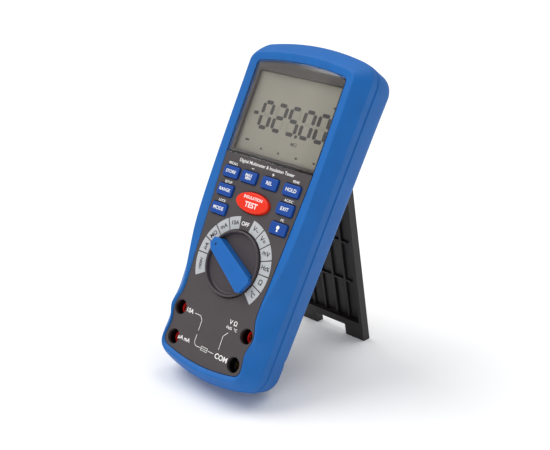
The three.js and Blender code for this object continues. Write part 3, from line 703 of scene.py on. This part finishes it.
# Text, its place in degrees, its own turn in degrees, and the height of its capitals.
SCALE_LABELS = [
    ("10A", -20, -14, 2.5), ("mA", -40, -34, 2.6), ("MΩ", -60, -50, 2.5), ("µA", -80, -70, 2.6),
    ("1000V", -106, -100, 2.0), ("V~", 20, 20, 2.9), ("V=", 40, 30, 2.9), ("mV", 60, 6, 2.8),
    ("Hz%", 80, 4, 2.4), ("Ω", 100, 6, 3.0), ("°C", 120, 28, 2.7),
]


def dial_scale():
    for side, spans in SECTORS.items():
        parts = [plate([sector(*span)], 0.0, SECTOR_TOP, 0.02, 1) for span in spans]
        piece(f"scale_{side}", gathered(parts), "case", "scale_silver", [f"dial_scale_{side}"])
    radius = (SCALE_INNER + SCALE_OUTER) / 2
    labels = []
    for text, degrees, turn, height in SCALE_LABELS:
        a = math.radians(degrees)
        x, y = radius * math.sin(a), DIAL_Y + radius * math.cos(a)
        labels.append(lettering(text, height, x, y, SECTOR_TOP, -math.radians(turn), 0.055))
    piece("scale_print", gathered(labels), "case", "ink_black")


# Text, the height of its capitals, its middle and how much bolder it is drawn.
FACE_LABELS = [
    ("OFF", 2.4, -0.7, 95.5, 0.05),
    ("RECALL", 1.5, -25.2, 127.7, 0.03),
    ("PEAK", 1.5, 25.0, 127.9, 0.03),
    ("SETUP", 1.5, -24.1, 116.1, 0.03),
    ("AC/DC", 1.5, 24.3, 116.3, 0.03),
    ("LOCK", 1.5, -24.1, 104.5, 0.03),
    ("PC", 1.5, 24.5, 104.6, 0.03),
    ("−", 2.6, -9.2, 127.8, 0.05),
    ("+", 2.6, 7.1, 127.8, 0.05),
    ("Digital Multimeter & Insulation Tester", 2.0, 0.4, 131.0, 0.02),
    ("10A", 2.6, -19.3, 35.9, 0.06),
    ("µA mA", 2.4, -16.6, 19.2, 0.06),
    ("COM", 3.1, 15.2, 18.1, 0.07),
    ("V Ω", 2.6, 15.6, 39.6, 0.06),
    ("Hz%  °C", 1.7, 15.6, 36.2, 0.03),
]

# The printed lines between the sockets.
WIRES = [
    [(-14.6, 35.8), (-10, 35.8), (-7.9, 33.6), (-7.9, 27.5)],
    [(-7.9, 24.6), (-7.9, 20), (-6.2, 18.4), (-2.6, 18.4)],
    [(4.4, 18.6), (8.6, 18.6)],
    [(14.0, 33.2), (11.4, 30.4), (11.4, 22.2)],
]


def face_print():
    parts = [lettering(text, height, x, y, 0.0, 0.0, bold) for text, height, x, y, bold in FACE_LABELS]
    parts += [stroke(points, 0.3, 0.0) for points in WIRES]
    parts.append(fuse_symbol(0.9, 18.5))
    piece("face_print", gathered(parts), "case", "ink_white")


def fuse_symbol(x, y):
    w, h = 2.6, 1.1
    box = [(x - w, y - h), (x + w, y - h), (x + w, y + h), (x - w, y + h), (x - w, y - h)]
    return gathered([stroke(box, 0.25, 0.0), stroke([(x - w, y), (x + w, y)], 0.25, 0.0)])


# ---- Keys -----------------------------------------------------------------------------------------

def key_mesh(outline, top, edge):
    """A key with a flange under the panel, a slight draft and a rounded top edge."""
    flange = outline(1.6)
    levels = [(LEDGE_Z - 0.8, flange), (LEDGE_Z, flange), (LEDGE_Z, outline(0)), (0.1, outline(0))]
    steps = 6
    for i in range(steps + 1):
        a = i / steps * math.pi / 2
        levels.append((top - edge + edge * math.sin(a), outline(-0.45 - 2 * edge * (1 - math.cos(a)))))
    return loft(levels)


def keys():
    captions = {
        "store": "STORE", "min_max": "MAX\nMIN", "rel": "REL", "hold": "HOLD",
        "range": "RANGE", "exit": "EXIT", "mode": "MODE", "light": "",
    }
    for name, (x, y) in KEYS.items():
        mesh = key_mesh(lambda grow: rounded(12.6 + grow, 7.3 + grow, 1.3 + grow * 0.3), 1.3, 0.4)
        mesh.transform(Matrix.Translation((x, y, 0)))
        piece(f"key_{name}", mesh, f"key_{name}", "key_blue", [f"button_{name}"])
        caption = captions[name]
        size = 1.75 if "\n" in caption else 2.1 if len(caption) < 5 else 1.9
        parts = [lettering(caption, size, x, y, 1.3, 0.0, 0.045)] if caption else lamp_symbol(x, y)
        piece(f"key_{name}_print", gathered(parts), f"key_{name}", "ink_white")
    mesh = key_mesh(lambda grow: ellipse(TEST_SIZE[0] + grow, TEST_SIZE[1] + grow), 2, 0.9)
    mesh.transform(Matrix.Translation((0, TEST_Y, 0)))
    piece("key_test", mesh, "key_test", "test_orange", ["button_test"])
    words = [("INSULATION", 1.8, 2.6, 0.04), ("TEST", 3.2, -1.7, 0.08)]
    parts = [lettering(word, height, 0.2, TEST_Y + dy, 2, 0.0, bold) for word, height, dy, bold in words]
    piece("key_test_print", gathered(parts), "key_test", "ink_white")


def lamp_symbol(x, y):
    bulb = loft([(z, circle(1.15, x, y + 0.6, 24)) for z in (1.3, 1.3 + 2 * INK_THICK)])
    base = block(x - 0.55, x + 0.55, y - 1.9, y - 0.75, 1.3, 1.3 + 2 * INK_THICK)
    return [bulb, base]


# ---- Display ----------------------------------------------------------------------------------------

def segment(x0, y0, x1, y1, width):
    """One bar of a digit, with pointed ends."""
    length = math.hypot(x1 - x0, y1 - y0)
    half = width / 2
    outline = [(half * 0.5, 0), (half * 1.15, -half), (length - half * 1.15, -half),
               (length - half * 0.5, 0), (length - half * 1.15, half), (half * 1.15, half)]
    mesh = loft([(z, outline) for z in (0, 0.05)])
    mesh.transform(Matrix.Translation((x0, y0, 0)) @ Matrix.Rotation(math.atan2(y1 - y0, x1 - x0), 4, "Z"))
    return mesh


LIT = {"0": "abcdef", "2": "abged", "5": "afgcd"}
LCD_Z = -5.7
LCD_BACK_Z = -7.8
WINDOW_Z = (-1.9, -0.2)
FRAME_Z = (-5.4, -2.2)
READING = "02500"
READING_X = [-17.2, -6.8, 3.6, 14.0, 24.4]
READING_Y = 161.6

# Small marks below the reading and one above it, as middle and width.
LCD_MARKS = [
    (-25, 144.4, 3.2), (-12.5, 141.2, 1.5), (0.7, 141.2, 1.5),
    (14, 141.2, 1.7), (27, 141.2, 1.7), (28.2, 175, 1.8),
]


def digit_bars(x, y, width, height, bar):
    left, right = x - width / 2 + bar / 2, x + width / 2 - bar / 2
    low, mid, high = y - height / 2 + bar / 2, y, y + height / 2 - bar / 2
    return {
        "a": (left, high, right, high), "b": (right, high, right, mid), "c": (right, mid, right, low),
        "d": (left, low, right, low), "e": (left, mid, left, low), "f": (left, high, left, mid),
        "g": (left, mid, right, mid),
    }


def display():
    x0, x1, y0, y1 = LCD_BOX
    window = clipped(shield(FOOT, GAP), SPLIT_Y + SEAM, True)
    piece("window", plate([window], *WINDOW_Z, 0.12), "case", "window_clear", ["display_window"])
    frame_outline = clipped(shield(FOOT, LEDGE + GAP), SPLIT_Y + LEDGE + GAP, True)
    opening = rounded(FRAME_RIGHT - x0, y1 - y0, 0.8, (x0 + FRAME_RIGHT) / 2, (y0 + y1) / 2)
    frame_plate = plate([frame_outline, opening], *FRAME_Z, 0.2)
    piece("window_frame", frame_plate, "case", "bezel_grey", ["display_bezel"])
    glass = plate([rounded(x1 - x0 + 1.8, y1 - y0 + 1.8, 0.6, 0, (y0 + y1) / 2)], LCD_BACK_Z, LCD_Z, 0.1)
    piece("lcd_panel", glass, "case", "lcd_glass", ["lcd_glass"])
    lit, ghost = [], []
    for x, figure in zip(READING_X, READING):
        for bar, ends in digit_bars(x, READING_Y, 9.2, 18.2, 2.5).items():
            (lit if bar in LIT[figure] else ghost).append(segment(*ends, 2.4))
    lit.append(segment(-27.8, READING_Y, -22.6, READING_Y, 2.2))
    lit.append(loft([(z, rounded(1.9, 1.9, 0.3, 8.8, 153.4)) for z in (0, 0.05)]))
    lit.append(lettering("MΩ", 2.1, 9.2, 148.4, 0, 0.0, 0.03))
    for x, y, size in LCD_MARKS:
        lit.append(loft([(z, rounded(size, 1.2, 0.4, x, y)) for z in (0, 0.04)]))
    for name, parts, look in (("lcd_figures", lit, "lcd_on"), ("lcd_unlit", ghost, "lcd_ghost")):
        mesh = gathered(parts)
        mesh.transform(Matrix.Translation((0, 0, LCD_Z + 0.01)))
        piece(name, mesh, "case", look)


# ---- Selector ---------------------------------------------------------------------------------------

POINTER_ANGLE = math.radians(60)
DOT_REACH = 15.2


def arc_profile(x, z, radius, start, stop, steps=6):
    angles = [math.radians(start + (stop - start) * i / steps) for i in range(steps + 1)]
    return [(x + radius * math.cos(a), z + radius * math.sin(a)) for a in angles]


def selector():
    lip = KNOB_RADIUS
    profile = [(0, LEDGE_Z), (lip - 0.3, LEDGE_Z), (lip, LEDGE_Z + 0.3)]
    profile += arc_profile(lip - 0.75, 1.05, 0.75, 0, 180, 12)
    profile += arc_profile(lip - 3.1, 0.2, 1.2, 0, -90, 8) + [(0, -1)]
    piece("knob_dish", turned(profile, 0, DIAL_Y, 128), "knob", "knob_grey", ["knob_dial"])
    right = [(3.9, -20.3), (5.6, -18.4), (4.2, 15.8), (1.9, 19.3)]
    outline = right + [(-x, y) for x, y in reversed(right)]

    def bar(grow):
        return [(x + math.copysign(grow, x), y) for x, y in outline]

    grip = loft([(-0.7, bar(0.6)), (4.2, bar(0.1)), (5, bar(-0.35))])
    ring = turned([(17.6, -4), (26, -4), (26, 2.1), (17.6, 2.1)], sides=96)
    grip = cut(grip, ring, rod(0.75, 0, DOT_REACH, 4.6, 6, 24))
    grip = bevelled(grip, 0.45, 3, 30)
    turn = Matrix.Translation((0, DIAL_Y, 0)) @ Matrix.Rotation(POINTER_ANGLE, 4, "Z")
    grip.transform(turn)
    piece("knob_grip", grip, "knob", "pointer_blue", ["knob_pointer"], sharp=30)
    dot = rod(0.6, 0, DOT_REACH, 4.5, 4.75, 24)
    dot.transform(turn)
    piece("knob_dot", dot, "knob", "ink_black")


# ---- Sockets ----------------------------------------------------------------------------------------

def sockets():
    low, high = -22.3, -5.6
    sleeve_profile = [
        (2.85, low), (3.55, low), (3.55, high - 0.2), (3.35, high), (3.05, high), (2.85, high - 0.2)]
    contact_profile = [(2.05, low), (2.5, low), (2.5, high - 1.6), (2.2, high - 1.5), (2.05, high - 1.65)]
    for name, (x, y) in JACKS.items():
        sleeve = turned(sleeve_profile, x, y, 40)
        look = "black_plastic" if name == "com" else "socket_red"
        piece(f"sleeve_{name}", sleeve, "case", look, [f"jack_sleeve_{name}"])
        contact = turned(contact_profile, x, y, 40)
        piece(f"contact_{name}", contact, "case", "brass", [f"jack_contact_{name}"])


# ---- Back -------------------------------------------------------------------------------------------

def cross_slots(x, y, arm, half_slot, z0, z1):
    """The two blocks that cut a screw's cross recess."""
    return [
        block(x - arm, x + arm, y - half_slot, y + half_slot, z0, z1),
        block(x - half_slot, x + half_slot, y - arm, y + arm, z0, z1),
    ]


def screw_head(x, y, radius, z):
    """A pan head facing the back, with a cross recess. z is its outer face."""
    thick, edge = 2.2, 0.8
    profile = [(0, z + thick), (radius, z + thick), (radius, z + edge)]
    profile += arc_profile(radius - edge, z + edge, edge, 0, -90, 6)
    head = turned(profile + [(0, z)], x, y, 40)
    return cut(head, *cross_slots(x, y, radius * 0.55, 0.35, z - 1, z + 1))


def back_details():
    for name, (x, y) in SCREWS.items():
        seat = head_seat(y)
        head = joined(screw_head(x, y, SCREW_HEAD, seat - 2.4), rod(SCREW_SHANK, x, y, seat - 1, -8, 24))
        piece(f"screw_{name}", head, "case", "steel", [f"case_screw_{name}"])
    holes = [circle(SCREW_SHANK + GAP, s * DOOR_SCREW_X, DOOR_SCREW_Y, 32) for s in (-1, 1)]
    door = plate([rounded(DOOR_W, DOOR_H, 2.7, 0, DOOR_Y), *holes], RECESS_Z + 0.2, FLOOR_Z - 0.2, 0.25)
    ridges = [block(-9, 9, y - 0.5, y + 0.5, RECESS_Z - 0.1, RECESS_Z + 1) for y in (56, 58.5, 61, 63.5)]
    door = bevelled(joined(door, *ridges), 0.15, 2, 50)
    piece("cell_door", door, "case", "black_plastic", ["battery_door"])
    for side, s in (("left", -1), ("right", 1)):
        x, y = s * DOOR_SCREW_X, DOOR_SCREW_Y
        screw = rod(SCREW_SHANK, x, y, RECESS_Z + 0.2, FLOOR_Z, 32)
        slots = cross_slots(x, y, 1, 0.25, -40, RECESS_Z + 0.8)
        piece(f"door_screw_{side}_head", cut(screw, *slots), "case", "steel", [f"door_screw_{side}"])


# ---- Tilt stand ---------------------------------------------------------------------------------------

def tilt_stand():
    """Drawn folded, with its hinge at the origin, hanging along -y and open towards +z."""
    back, front, end = -STAND_DEPTH / 2, STAND_DEPTH / 2, -STAND_LENGTH
    inner = STAND_HALF - 2.6
    skin = back + 2
    body = block(-STAND_HALF, STAND_HALF, end, 0, back, skin)
    parts = [block(*sorted((s * inner, s * STAND_HALF)), end, 0, back, front) for s in (-1, 1)]
    parts.append(cross_rod(STAND_DEPTH / 2, -STAND_HALF, STAND_HALF, 0, 0, 64))
    parts.append(block(-22, 22, 0, 5.9, back, back + 1.8))
    parts += [block(x - 0.8, x + 0.8, -123, 0, back + 0.1, skin + 1.4) for x in (-15, -5, 5, 15)]
    parts += [block(-20, 20, y - 0.7, y + 0.7, back + 0.1, skin + 1.3) for y in (-62, -92)]
    parts.append(block(-STAND_HALF, STAND_HALF, end, -122, back, front))
    body = joined(body, *parts)
    notch = block(-NOTCH_HALF, NOTCH_HALF, -300, stand_floor() + NOTCH_DEPTH, -9, 9)
    bores = [cross_rod(1.6, *sorted((s * 19, s * 29)), 0, 0, 32) for s in (-1, 1)]
    body = cut(body, notch, *bores, ground_block(STAND))
    body = bevelled(body, 0.4, 3, 40)
    piece("stand_leg", body, "stand", "stand_black", ["tilt_stand"], place=STAND, sharp=40)


def stand_floor():
    """Where the ground meets the stand's middle plane, along the stand."""
    normal = STAND.inverted().to_3x3().normalized() @ Vector((0, 0, 1))
    foot = STAND.inverted() @ Vector((0, 0, 0))
    return (normal.y * foot.y + normal.z * foot.z) / normal.y


# ---- Assembly -----------------------------------------------------------------------------------------

def dress_nodes():
    """Gives every CAD node that stays its slot's material."""
    for name, node in NODES.items():
        for holder in node.material_slots:
            holder.material = LOOK[SLOT_OF[name]]


add_camera()
add_studio()
dress_nodes()
front_cover()
rear_cover()
face_panel()
dial_scale()
face_print()
keys()
display()
selector()
sockets()
back_details()
tilt_stand()
